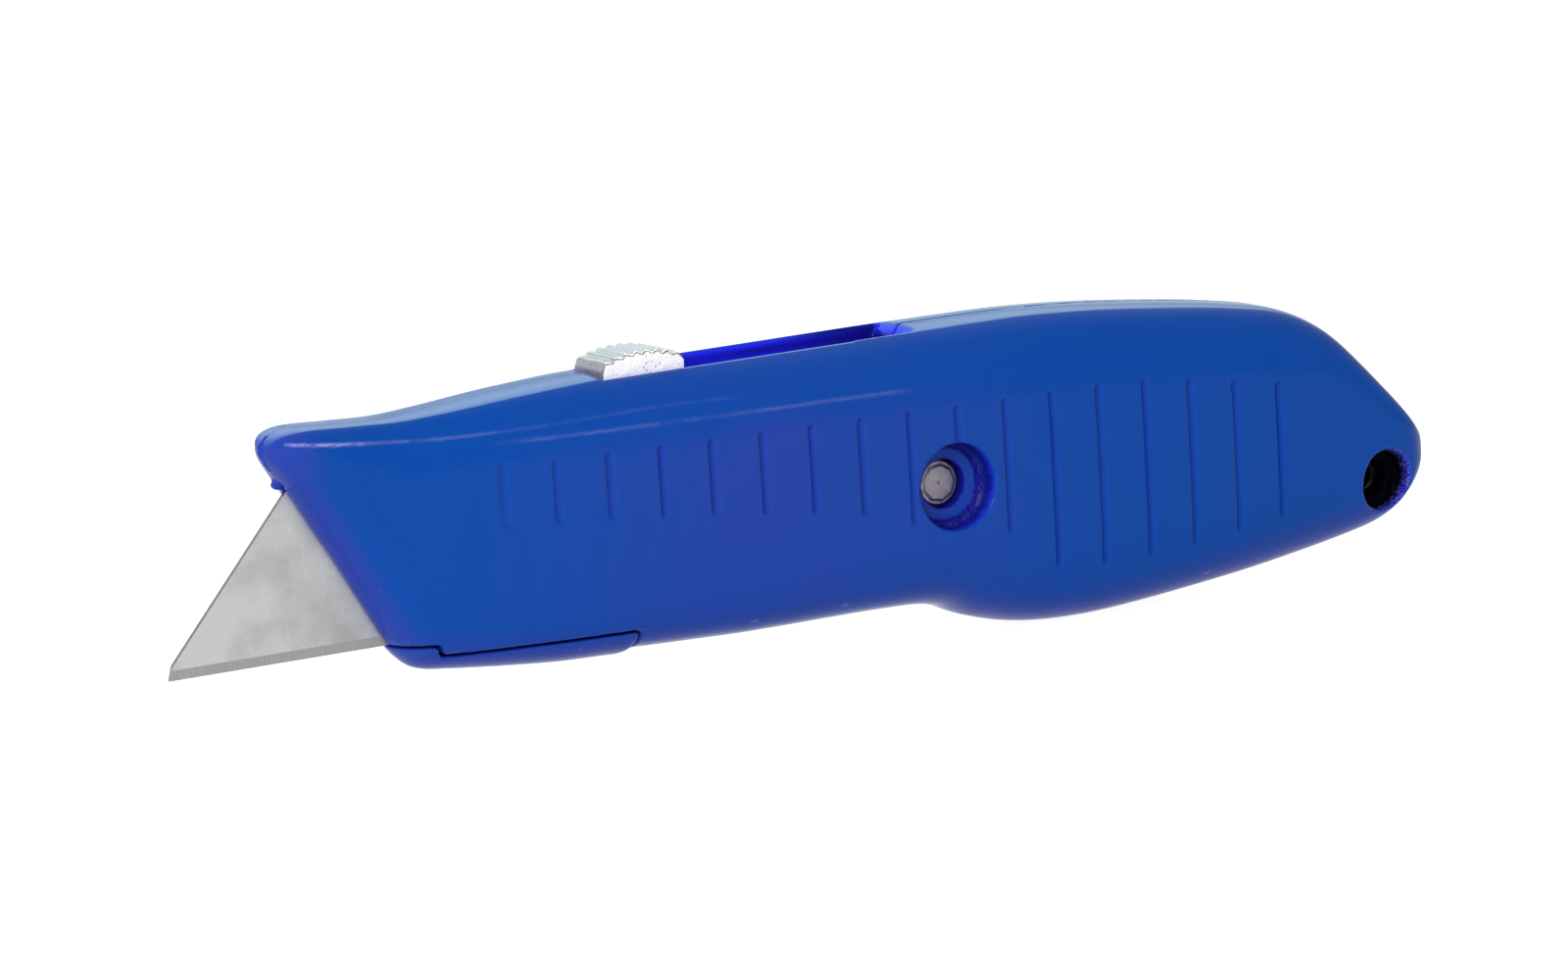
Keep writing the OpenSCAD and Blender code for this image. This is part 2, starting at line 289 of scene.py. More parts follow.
# Streaks that run one way, with soft clouds over them
def makeBrushGroup():
    group, given, out = nodeGroup(
        "brushedStreaks",
        [("Stretch", "NodeSocketVector", (40.0, 40.0, 3000.0)), ("Cloud Scale", "NodeSocketFloat", 120.0)],
        [("Streaks", "NodeSocketFloat"), ("Clouds", "NodeSocketFloat")])
    link = group.links.new
    place = addNode(group, "ShaderNodeTexCoord")
    pulled = addNode(group, "ShaderNodeVectorMath", operation="MULTIPLY")
    streak = addNode(group, "ShaderNodeTexNoise", Scale=1.0, Detail=5.0)
    cloud = addNode(group, "ShaderNodeTexNoise", Detail=4.0)
    link(place.outputs["Object"], pulled.inputs[0])
    link(given.outputs["Stretch"], pulled.inputs[1])
    link(pulled.outputs[0], streak.inputs["Vector"])
    link(place.outputs["Object"], cloud.inputs["Vector"])
    link(given.outputs["Cloud Scale"], cloud.inputs["Scale"])
    link(streak.outputs["Fac"], out.inputs["Streaks"])
    link(cloud.outputs["Fac"], out.inputs["Clouds"])
    return group


grainGroup = makeGrainGroup()
edgeGroup = makeEdgeGroup()
brushGroup = makeBrushGroup()
print("shader groups ready")


def newMaterial(name, **values):
    material = bpy.data.materials.new(name)
    material.use_nodes = True
    shader = material.node_tree.nodes["Principled BSDF"]
    for key, value in values.items():
        shader.inputs[key.replace("_", " ")].default_value = value
    return material, material.node_tree, shader


def useGroup(tree, group, **values):
    made = tree.nodes.new("ShaderNodeGroup")
    made.node_tree = group
    for key, value in values.items():
        made.inputs[key.replace("_", " ")].default_value = value
    return made


def mixColor(tree, factor, first, second):
    mix = addNode(tree, "ShaderNodeMix", data_type="RGBA")
    for socket, value in ((mix.inputs["Factor"], factor), (mix.inputs[6], first), (mix.inputs[7], second)):
        if isinstance(value, bpy.types.NodeSocket):
            tree.links.new(value, socket)
        else:
            socket.default_value = value
    return mix.outputs[2]


def rangeOf(tree, value, low, high, fromLow=0.0, fromHigh=1.0):
    made = addNode(tree, "ShaderNodeMapRange")
    tree.links.new(value, made.inputs["Value"])
    for label, amount in (("From Min", fromLow), ("From Max", fromHigh), ("To Min", low), ("To Max", high)):
        made.inputs[label].default_value = amount
    return made.outputs["Result"]


def product(tree, first, second):
    made = addNode(tree, "ShaderNodeMath", operation="MULTIPLY")
    tree.links.new(first, made.inputs[0])
    tree.links.new(second, made.inputs[1])
    return made.outputs[0]


def addBump(tree, shader, height, strength, distance):
    made = addNode(tree, "ShaderNodeBump", Strength=strength, Distance=distance)
    tree.links.new(height, made.inputs["Height"])
    tree.links.new(made.outputs["Normal"], shader.inputs["Normal"])


def storedValue(tree, name):
    made = tree.nodes.new("ShaderNodeAttribute")
    made.attribute_name = name
    return made.outputs["Fac"]


def paintMaterial():
    # Blue paint, with colours for painted shade in cuts, painted shadow, painted highlight lines, painted
    # glints and edge scuffs
    paint = {"color": (0.0010, 0.057, 0.335, 1), "warm": (0.021, 0.042, 0.335, 1),
             "hollowShade": (0.018, 0.022, 0.86, 1), "dark": (0.0018, 0.0006, 0.005, 1),
             "wearAndHighlight": (0.36, 0.36, 0.72, 1), "scuff": (0.12, 0.1, 0.45, 1), "glint": (0.10, 0.11, 0.36, 1),
             "roughness": (0.3, 0.42), "coatAmount": (1.0, 0.15)}
    material, tree, shader = newMaterial("bluePaint", Coat_Roughness=0.05, Coat_IOR=1.2, Roughness=0.35,
                                         Specular_IOR_Level=0.0)
    grain = useGroup(tree, grainGroup, Scale=260.0, Fine_Scale=1400.0, Speck_Amount=0.27)
    glintGrain = useGroup(tree, grainGroup, Scale=900.0, Fine_Scale=3600.0, Speck_Amount=0.47)
    wear = useGroup(tree, edgeGroup, Start=0.62, End=0.72, Breakup=900.0)
    cloud = useGroup(tree, brushGroup, Cloud_Scale=22.0)
    patches = rangeOf(tree, cloud.outputs["Clouds"], 0.4, 1.0, 0.38, 0.6)
    tint = mixColor(tree, product(tree, patches, storedValue(tree, "warm")), paint["color"], paint["warm"])
    # Painted shade: the walls of cuts and hollows are tinted a deeper violet-blue
    tint = mixColor(tree, storedValue(tree, "hollowShade"), tint, paint["hollowShade"])
    tint = mixColor(tree, wear.outputs["Mask"], tint, paint["scuff"])
    # Painted highlights: lavender lines along the cast creases and just above the keel, broken up by the
    # grain
    broken = rangeOf(tree, grain.outputs["Height"], 0.35, 1.0, 0.55, 0.75)
    tint = mixColor(tree, product(tree, broken, storedValue(tree, "wearAndHighlight")), tint, paint["wearAndHighlight"])
    tint = mixColor(tree, storedValue(tree, "shadow"), tint, paint["dark"])
    # Painted glints: lighter specks on the rough rims of the lanyard hole and the screw recess's ledge
    glintSpecks = product(tree, glintGrain.outputs["Specks"], storedValue(tree, "paintedGlints"))
    tint = mixColor(tree, glintSpecks, tint, paint["glint"])
    tree.links.new(tint, shader.inputs["Base Color"])
    coat = rangeOf(tree, storedValue(tree, "shadow"), *paint["coatAmount"])
    tree.links.new(coat, shader.inputs["Coat Weight"])
    tree.links.new(rangeOf(tree, grain.outputs["Height"], *paint["roughness"]), shader.inputs["Roughness"])
    addBump(tree, shader, grain.outputs["Height"], 0.1, 0.0001)
    return material


def bladeMaterial():
    steel = {"bright": (0.675, 0.665, 0.655, 1), "dull": (0.36, 0.355, 0.375, 1),
             "shadeTowardsHandle": (-0.153, -0.13), "roughness": (0.3, 0.48)}
    material, tree, shader = newMaterial("bladeSteel", Metallic=0.9, Roughness=0.4)
    brush = useGroup(tree, brushGroup, Stretch=(60.0, 60.0, 2400.0), Cloud_Scale=130.0)
    grain = useGroup(tree, grainGroup, Scale=1500.0, Fine_Scale=6000.0)
    place = addNode(tree, "ShaderNodeTexCoord")
    parts = addNode(tree, "ShaderNodeSeparateXYZ")
    tree.links.new(place.outputs["Object"], parts.inputs[0])
    # Painted shade: the steel darkens towards the handle
    along = rangeOf(tree, parts.outputs["X"], -0.16, 0.3, *steel["shadeTowardsHandle"])
    clouds = rangeOf(tree, brush.outputs["Clouds"], -0.25, 0.5, 0.3, 0.7)
    fine = rangeOf(tree, grain.outputs["Height"], -0.12, 0.12, 0.3, 1.0)
    dull = addNode(tree, "ShaderNodeMath", operation="ADD")
    total = addNode(tree, "ShaderNodeMath", operation="ADD", use_clamp=True)
    tree.links.new(along, dull.inputs[0])
    tree.links.new(clouds, dull.inputs[1])
    tree.links.new(dull.outputs[0], total.inputs[0])
    tree.links.new(fine, total.inputs[1])
    tint = mixColor(tree, total.outputs[0], steel["bright"], steel["dull"])
    tree.links.new(tint, shader.inputs["Base Color"])
    tree.links.new(rangeOf(tree, brush.outputs["Streaks"], *steel["roughness"]), shader.inputs["Roughness"])
    addBump(tree, shader, grain.outputs["Height"], 0.25, 0.00004)
    return material


def groundMaterial(name, bright, dull):
    material, tree, shader = newMaterial(name, Metallic=0.9, Roughness=0.4)
    brush = useGroup(tree, brushGroup, Stretch=(5200.0, 60.0, 240.0), Cloud_Scale=400.0)
    tree.links.new(mixColor(tree, brush.outputs["Streaks"], dull, bright), shader.inputs["Base Color"])
    addBump(tree, shader, brush.outputs["Streaks"], 0.4, 0.00006)
    return material


def castMetalMaterial(name, light, dark, wearAndHighlight, metallic, roughness):
    material, tree, shader = newMaterial(name, Metallic=metallic, Roughness=roughness)
    grain = useGroup(tree, grainGroup, Scale=900.0, Fine_Scale=2600.0, Speck_Amount=0.34)
    wear = useGroup(tree, edgeGroup, Start=0.5, End=0.58, Breakup=700.0)
    pitted = mixColor(tree, grain.outputs["Specks"], light, dark)
    tree.links.new(mixColor(tree, wear.outputs["Mask"], pitted, wearAndHighlight), shader.inputs["Base Color"])
    addBump(tree, shader, grain.outputs["Height"], 0.5, 0.00012)
    return material


def steelMaterial(name, light, dark, roughness):
    material, tree, shader = newMaterial(name, Metallic=1.0, Roughness=roughness)
    brush = useGroup(tree, brushGroup, Stretch=(500.0, 2500.0, 500.0), Cloud_Scale=400.0)
    tree.links.new(mixColor(tree, brush.outputs["Streaks"], light, dark), shader.inputs["Base Color"])
    addBump(tree, shader, brush.outputs["Streaks"], 0.2, 0.00005)
    return material


metals = {
    "groundEdge": {"bright": (0.55, 0.53, 0.53, 1), "dull": (0.26, 0.25, 0.26, 1)},
    "blankedEdge": {"bright": (0.16, 0.12, 0.15, 1), "dull": (0.06, 0.05, 0.07, 1)},
    "buttonTop": {"light": (0.31, 0.28, 0.325, 1), "dark": (0.15, 0.13, 0.16, 1),
                  "wearAndHighlight": (0.56, 0.52, 0.57, 1), "metallic": 0.4, "roughness": 0.36},
    "buttonSide": {"light": (1, 1, 0.97, 1), "dark": (0.5, 0.49, 0.5, 1), "wearAndHighlight": (1, 1, 1, 1),
                   "metallic": 0.05, "roughness": 0.6},
    "carrierMetal": {"light": (0.55, 0.56, 0.58, 1), "dark": (0.3, 0.3, 0.31, 1), "wearAndHighlight": (0.8, 0.8, 0.8, 1),
                     "metallic": 0.75, "roughness": 0.5},
    "screwSteel": {"light": (0.48, 0.43, 0.48, 1), "dark": (0.27, 0.24, 0.29, 1), "roughness": 0.45},
    "springSteel": {"light": (0.3, 0.31, 0.35, 1), "dark": (0.2, 0.2, 0.22, 1), "roughness": 0.3},
}


def metal(maker, name):
    return maker(name, **metals[name])


bluePaint = paintMaterial()
bladeSteel = bladeMaterial()
groundEdge = metal(groundMaterial, "groundEdge")
blankedEdge = metal(groundMaterial, "blankedEdge")
buttonTop = metal(castMetalMaterial, "buttonTop")
buttonSide = metal(castMetalMaterial, "buttonSide")
carrierMetal = metal(castMetalMaterial, "carrierMetal")
screwSteel = metal(steelMaterial, "screwSteel")
springSteel = metal(steelMaterial, "springSteel")
print("materials ready")

# Handle, in millimetres along the knife. The part has the same numbers, but for the left crown beside the
# slot, the tail's breadth and the gap at the lip
handle = {
    "noseX": -142.9, "tailX": 7.2, "halfThickness": 10.0, "thinnest": 0.05, "wall": 2.0, "upperSquare": 4.7,
    "keelRound": 2.0,
    "ridge": [(-142.9, 22.3), (-142.5, 23.3), (-141.2, 24.15), (-139, 24.55), (-134, 24.35), (-128, 24.1),
              (-122, 24.4), (-112, 25.25), (-104, 25.7), (-86, 25.77), (-50, 25.8), (-39, 25.3),
              (-28, 24.2), (-18, 22.83), (-11.5, 21.4), (-6.5, 18.87), (-2, 14.82), (5.4, 6.78), (6.8, 4.6),
              (7.2, 2.6)],
    "crownRight": [(-142.9, 3), (-130, 3.8), (-118, 3.8), (-106, 3), (7.2, 3)],
    "crownLeft": [(-142.9, 3), (-130, 3.8), (-118, 3.8), (-105.5, 3), (-101.5, 2.4), (-90, 2.35), (-68, 2.3),
                  (-60, 2.6), (-40, 2.8), (7.2, 3)],
    "keel": [(-142.9, 22.1), (-142.4, 21), (-141, 18.8), (-140, 17.2), (-134.7, 8.5), (-129.2, -0.9),
             (-128, -2.5), (-126.2, -3.9), (-123, -4.5), (-111, -5.6), (-104, -5.85), (-102.4, -5.85),
             (-101, -5.45), (-99, -5.5), (-92, -5.7), (-86, -5.85), (-66, -5.9), (-60.5, -6.5), (-55.5, -8.5),
             (-50.5, -9.8), (-45, -10.4), (-38, -10.4), (-25, -9.4), (-14, -8.2), (-2.5, -6.4), (2, -5),
             (5.2, -2.2), (6.8, 0.6), (7.2, 2.4)],
    "breadth": [(-142.9, 0.05), (-142.5, 0.19), (-141.4, 0.34), (-139.4, 0.45), (-136, 0.51),
                (-130, 0.58), (-120, 0.71), (-105, 0.88), (-90, 0.96), (-70, 1), (-40, 1), (-20, 0.92),
                (-8, 0.81), (0, 0.72), (3.6, 0.66), (5.8, 0.53), (6.8, 0.37), (7.2, 0.1)],
    "keelSquare": [(-143, 2), (-140, 2.2), (-130, 2.6), (-124, 5), (-110, 7), (-50, 6), (-5, 4), (7.2, 2.5)],
    "lip": [(-131, -0.9), (-125.1, -0.85), (-124.5, -2.15), (-101.5, -2.25), (-101.5, -7), (-131, -7)],
    "slot": [(-102.6, 20), (-102.6, 30), (-61.1, 30), (-61.4, 26), (-62, 25.2), (-62.6, 24.4), (-62.9, 23.4),
             (-62.9, 20)],
    "slotHalfWidth": 3.8, "lipGap": 0.3, "stations": 340, "ringPoints": 110,
    "voxel": 0.27, "smoothing": 4, "innerKeep": 0.12, "sharpAngle": 42,
}
creases = {
    "upper": [(-143, 23.4), (-141, 23.2), (-133, 22.4), (-124, 21.8), (-112, 21.8), (-99, 22.1), (-85, 21.9),
              (-70, 21.7), (-55, 21.2), (-42, 20.4), (-30, 19)],
    "lower": [(-120, 20.6), (-104, 20.35), (-92, 20.25), (-76, 20.05), (-62, 19.9)],
    "upperHeight": 0.12, "lowerHeight": 0.06, "reach": 0.8,
}
grooves = {
    "count": 17, "firstX": -117.4, "pitch": 6.32, "halfWidth": 0.5, "depth": 0.42, "frontShare": 0.55,
    "tops": [(-117.4, 18.2), (-60, 17.5), (-35, 17), (-16, 14.2)],
    "feet": [(-117.4, 11.2), (-98, 9.9), (-73, 6.6), (-66.7, 4.6), (-54.2, 2), (-48, -2.8), (-29, -3.1),
             (-16, -1.6)],
}
lanyard = {"hole": 2.0, "mouth": 3.5, "mouthProfile": [(3.5, 3.4), (3.5, 5.9), (3.95, 7.2), (5.2, 12)]}
bead = {"x": -140.7, "z": 18.2, "radius": 0.55, "reach": 0.4, "root": 1.4, "gap": 0.12}

ridgeAt = smoothCurve(handle["ridge"])
keelAt = smoothCurve(handle["keel"])
breadthAt = smoothCurve(handle["breadth"])
keelSquareAt = smoothCurve(handle["keelSquare"])
upperCreaseAt = smoothCurve(creases["upper"])
lowerCreaseAt = smoothCurve(creases["lower"])
crownLeftAt = smoothCurve(handle["crownLeft"])
crownRightAt = smoothCurve(handle["crownRight"])
grooveTopAt = smoothCurve(grooves["tops"])
grooveFootAt = smoothCurve(grooves["feet"])


# How far the two cast crease lines stand out from the side
def creaseHeight(x, z):
    upper = fade(x, -143, -139) * (1 - 0.5 * fade(x, -134, -126)) * (1 - fade(x, -75, -50))
    lower = fade(x, -119, -112) * (1 - fade(x, -78, -64))
    return (creases["upperHeight"] * upper * np.exp(-np.abs(z - upperCreaseAt(x)) / creases["reach"])
            + creases["lowerHeight"] * lower * np.exp(-np.abs(z - lowerCreaseAt(x)) / creases["reach"]))


# How square the cross-section's corners are, and how flat its crown is
def sectionPowers(x, u, side):
    crown = crownLeftAt(x) if side < 0 else crownRightAt(x)
    square = np.where(u > 0, handle["upperSquare"], keelSquareAt(x))
    return square, np.where(u > 0, crown, handle["keelRound"])


# Half the handle's thickness at the middle of its side view
def widestAt(x, inset=0.0):
    return np.maximum(breadthAt(x) * handle["halfThickness"] - inset, handle["thinnest"])


# Half the handle's thickness at a point of its side view
def halfWidth(x, z, side, inset=0.0):
    top, low = ridgeAt(x) - inset, keelAt(x) + inset
    u = np.clip((z - (top + low) / 2) / ((top - low) / 2), -1, 1)
    square, flat = sectionPowers(x, u, side)
    return widestAt(x, inset) * (1 - np.abs(u) ** square) ** (1 / flat)


# Half of the handle's outer form, or of its hollow, closed along the parting plane
def loftHalf(name, side, inset=0.0, span=None, stations=None, ringPoints=None, seam=0.0):
    start, end = span or (handle["noseX"], handle["tailX"])
    stations = stations or handle["stations"]
    ringPoints = ringPoints or handle["ringPoints"]
    t = np.linspace(0, 1, stations + 1)
    xs = start + (end - start) * (0.5 * t + 0.25 * (1 - np.cos(math.pi * t)))
    u = np.cos(math.pi * np.linspace(0, 1, ringPoints + 1))
    top, low = ridgeAt(xs) - inset, keelAt(xs) + inset
    z = (top + low)[:, None] / 2 + (top - low)[:, None] / 2 * u
    x = np.repeat(xs[:, None], ringPoints + 1, 1)
    y = halfWidth(x, z, side, inset)
    y[:, [0, -1]] = seam
    n = ringPoints + 1
    points = np.stack([x, side * y, z], -1).reshape(-1, 3)
    faces = [(i * n + j, (i + 1) * n + j, (i + 1) * n + (j + 1) % n, i * n + (j + 1) % n)
             for i in range(stations) for j in range(n)]
    faces += [tuple(range(n)), tuple(stations * n + j for j in range(n))]
    return meshPiece(name, points, faces)


# 0 on the handle's outer skin, below 0 inside it
def skinValue(p, side):
    x, y, z = p.T
    top, low = ridgeAt(x), keelAt(x)
    u = (z - (top + low) / 2) / ((top - low) / 2)
    square, flat = sectionPowers(x, u, side)
    out = np.maximum(np.abs(y) - creaseHeight(x, z), 0)
    return (out / widestAt(x)) ** flat + np.abs(u) ** square - 1


# How deep the grip grooves are at a point of the side view
def grooveDepth(x, z):
    deepest = np.zeros_like(x)
    for i in range(grooves["count"]):
        gx = grooves["firstX"] + grooves["pitch"] * i
        r = grooves["halfWidth"]
        top, foot = float(grooveTopAt(gx)) - r, float(grooveFootAt(gx)) + r
        away = np.hypot(x - gx, z - np.clip(z, foot, top)) / r
        share = grooves["frontShare"]
        strength = share + (1 - share) * fade(gx, -118, -100)
        deepest = np.maximum(deepest, strength * grooves["depth"] * np.clip(1 - away**2, 0, 1) ** 0.8)
    return deepest


# How far from the exact form a point is still laid on it, and how the seam at the nose is closed
fit = {"rounds": 3, "step": 0.01, "facing": (0.9, 0.975), "away": (0.15, 0.3), "noseEnd": 0.6, "tailEnd": 0.3,
       "seamHalf": 0.45, "seamAway": 0.5, "seamEnd": -104, "tipLength": 1.2, "tipFill": 0.14}


# Lays the outer surface on the handle's exact form, then presses the grip grooves in
def fitSkin(piece, side):
    p, n = pointsOf(piece), normalsOf(piece)
    step, seamHalf = fit["step"], fit["seamHalf"]
    for _ in range(fit["rounds"]):
        value = skinValue(p, side)
        slope = np.stack([(skinValue(p + d, side) - skinValue(p - d, side)) / (2 * step)
                          for d in np.eye(3) * step], -1)
        steep = np.maximum(np.linalg.norm(slope, axis=1), 1e-6)
        away = value / steep
        facing = (slope * n).sum(1) / steep
        within = (p[:, 0] > handle["noseX"] + fit["noseEnd"]) & (p[:, 0] < handle["tailX"] - fit["tailEnd"])
        hold = fade(facing, *fit["facing"]) * (1 - fade(np.abs(away), *fit["away"])) * within
        p -= (hold * away / steep)[:, None] * slope
    seam = (np.abs(p[:, 1]) < seamHalf) & (np.abs(away) < fit["seamAway"]) & (facing > 0.15)
    seam &= (p[:, 0] < fit["seamEnd"]) & (hold < 0.5)
    p -= (seam * away / steep)[:, None] * slope
    tip = (p[:, 0] < handle["noseX"] + fit["tipLength"]) & (n[:, 0] < -0.2)
    p[:, 0] -= np.where(tip, fit["tipFill"] * np.clip(1 - np.abs(p[:, 1]) / seamHalf, 0, 1), 0)
    flank = fade(np.abs(n[:, 1]), 0.6, 0.85) * hold
    p[:, 1] -= np.sign(p[:, 1]) * flank * grooveDepth(p[:, 0], p[:, 2])
    setPoints(piece, p)


# How strongly the paint carries painted shade, painted glints and painted highlight lines at each feature,
# and where it is warmer
marks = {
    "grooveClear": 0.85, "grooveShadow": 0.16, "recessHollowShade": 0.75, "recessFlat": 0.7, "recessShadow": 0.74,
    "lipHollowShade": 0.1, "lipShadow": 0.2, "slotShadow": 0.75, "slotShade": (-76, -67),
    "slotRamp": (-62.7, -62.0), "ledgeGlints": 0.22, "upperHighlight": 0.8, "lowerHighlight": 0.15, "keelHighlight": 0.35,
    "keelHighlightUp": 1.0, "upperHighlightWidth": 0.14, "highlightWidth": 0.16, "warmMiddle": -80, "warmReach": 24,
}


# Stores how far each point lies in a cut and how much painted shade it gets there, how much painted shadow
# and how many painted glints the paint has, where painted highlight lines run along the cast lines and the
# keel, and where its blue is warmer
def markPaint(piece, side):
    p, n = pointsOf(piece), normalsOf(piece)
    x, y, z = p.T
    ridge, keel = ridgeAt(x), keelAt(x)
    flat = fade(np.abs(n[:, 1]), 0.75, 0.95)
    depth = halfWidth(x, z, side) - np.abs(y)
    depth = np.where(z > ridge - 2.5, np.minimum(depth, ridge - z), depth)
    fromScrew = np.hypot(x - screw["x"], z - screw["z"])
    inRecess = (fromScrew < screw["recessMouthR"] + 0.3) & (y < 0)
    inHole = np.hypot(x, z) < lanyard["mouth"] + 0.8
    atLip = (z < -0.4) & (x < -101) & (y < 0)
    inSlot = (z > 18) & (depth > 0.3) & (np.abs(y) < handle["slotHalfWidth"] + 0.3)
    inGroove = np.clip(grooveDepth(x, z) / grooves["depth"], 0, 1) * (np.abs(n[:, 1]) > 0.5)

    # Painted shade of the hollows, deeper the further a point lies in a cut, faint in the grip grooves, at
    # the lip and on the recess floor
    hollowShade = fade(depth, 0.15, 0.6) * (1 - marks["grooveClear"] * inGroove * (depth < 0.7))
    hollowShade = np.where(inRecess, hollowShade * (marks["recessHollowShade"] - marks["recessFlat"] * flat), hollowShade)
    hollowShade = np.where(atLip, marks["lipHollowShade"] * hollowShade, hollowShade)

    shadow = marks["grooveShadow"] * inGroove
    for place, shade in (
            (inRecess, marks["recessShadow"] * fade(depth, 0.3, 1.0) * (1 - flat)),
            (inHole, fade(depth, 0.25, 1.3)),
            (atLip, marks["lipShadow"] * fade(depth, 0.12, 0.5)),
            (inSlot, marks["slotShadow"] * fade(x, *marks["slotShade"]) * (1 - fade(x, *marks["slotRamp"])))):
        shadow = np.where(place, shade, shadow)

    # Painted glints around the lanyard hole's rim and on the recess ledge
    paintedGlints = np.where(inHole, fade(depth, 0.05, 0.3) * (1 - fade(depth, 1.2, 2.2)), 0)
    ledge = np.exp(-((fromScrew - screw["recessFloorR"] - 0.1) / 0.3) ** 2) * inRecess
    paintedGlints = np.maximum(paintedGlints, marks["ledgeGlints"] * ledge * (depth > 0.5))

    # Painted highlight lines along the upper and lower cast crease and just above the keel, strongest at the
    # nose
    nose = fade(x, -141.6, -140.8) * (1 - 0.75 * fade(x, -133.6, -131.5)) * (1 - 0.7 * fade(x, -124, -110))
    wearAndHighlight = np.zeros(len(p))
    for along, height, width in (
            (marks["upperHighlight"] * nose * (1 - fade(x, -92, -86)), upperCreaseAt(x), marks["upperHighlightWidth"]),
            (marks["lowerHighlight"] * fade(x, -119, -114) * (1 - fade(x, -70, -64)), lowerCreaseAt(x),
             marks["highlightWidth"]),
            (marks["keelHighlight"] * fade(x, -127, -124) * (1 - fade(x, -72, -62)), keel + marks["keelHighlightUp"],
             marks["highlightWidth"])):
        wearAndHighlight += along * np.exp(-((z - height) / width) ** 2)
    wearAndHighlight *= (depth < 0.12) & (y * side > 0)

    warm = np.exp(-((x - marks["warmMiddle"]) / marks["warmReach"]) ** 2) * (1 - 0.8 * fade(z, 17, 21))
    warm = np.maximum(warm, 1 - fade(z - keel, 0.5, 6))
    warm = np.maximum(warm, 1 - fade(x, -142, -136))
    for name, values in (("hollowShade", hollowShade), ("shadow", shadow), ("paintedGlints", paintedGlints),
                         ("wearAndHighlight", wearAndHighlight), ("warm", warm)):
        storeValue(piece, name, values)


# Fewer faces where the casting's inner side is out of sight
def thinInside(piece, side):
    hidden = np.where(skinValue(pointsOf(piece), side) < -0.12, 1.0, 0.0)
    group = piece.vertex_groups.new(name="hidden")
    group.add([int(i) for i in np.flatnonzero(hidden > 0)], 1.0, "REPLACE")
    thin = piece.modifiers.new("thin", "DECIMATE")
    thin.ratio = 1 - (1 - handle["innerKeep"]) * hidden.mean()
    thin.vertex_group = "hidden"
    bake(piece)
    piece.vertex_groups.clear()


# What the halves have inside, and the room they leave for the other pieces
inside = {
    "hollow": (-121, -7), "hollowMesh": (90, 40), "sillStart": -122, "sillEnd": -66, "sillLow": -4.5,
    "sillWidth": 3, "railHeights": {-1: (2.5, 11.5), 1: (2.5, 10.5)},  # -1 is the left half, 1 the right
    "railThickness": 1.2, "railEdge": [(-121, 5.4), (-105, 7.2), (-88, 8.1), (-68, 8.5)],
    "bossR": 4.6, "bossReach": 8.8, "seatR": 6.6, "seats": {-1: (-9.4, -3.4), 1: (3.6, 9.4)},
    "bladeRoom": (-146, -64), "bladeGap": 0.25, "spareRoomHalf": 2.1,
    "spareRoom": [(-64.9, -3.8), (-65, -2.5), (-47.8, 15.9), (-18.6, 15.2), (-2.5, -4.3), (-2.6, -5.4)],
    "lugRoom": ((-131.4, -1.3, 15.4), (-88, 1, 18.2)),
    "carrierRoom": ((-133, -0.1, 13.3), (-56.6, 3.15, 18.6)),
    "neckRoom": ((-104.6, -3.2, 18), (-57, 3.2, 22)), "beyond": 12,
}


# Side view of the right half's lip, drawn in by the gap to the left half
def lipOutline(gap):
    return [(x - (gap if x > -130 else 0), z - (gap if z > -6 else 0)) for x, z in handle["lip"]]


# From the parting plane outwards, in rising order
def outward(reach, side):
    return min(0, reach * side), max(0, reach * side)


# Ribs, rails and boss inside the half, and on the right half the lip and the bead
def addInside(piece, side, edge, reach):
    low, high = outward(inside["sillWidth"], side)
    add(piece, block((inside["sillStart"], low, inside["sillLow"]), (inside["sillEnd"], high, edge)))
    rail = inside["railEdge"] + [(inside["railEdge"][i][0], reach) for i in (-1, 0)]
    for z in inside["railHeights"][side]:
        add(piece, prism(*([(x, side * y, h) for x, y in rail] for h in (z, z + inside["railThickness"]))))
    add(piece, rod(screw["x"], screw["z"], inside["bossR"], *outward(inside["bossReach"], side)))
    add(piece, rod(screw["x"], screw["z"], inside["seatR"], *inside["seats"][side]))
    if side > 0:
        wrap = loftHalf("tool", -1)
        carve(wrap, slab(lipOutline(handle["lipGap"]), -inside["beyond"], 0), "INTERSECT")
        add(piece, wrap)
        add(piece, rod(bead["x"], bead["z"], bead["radius"], -bead["reach"], bead["root"]))


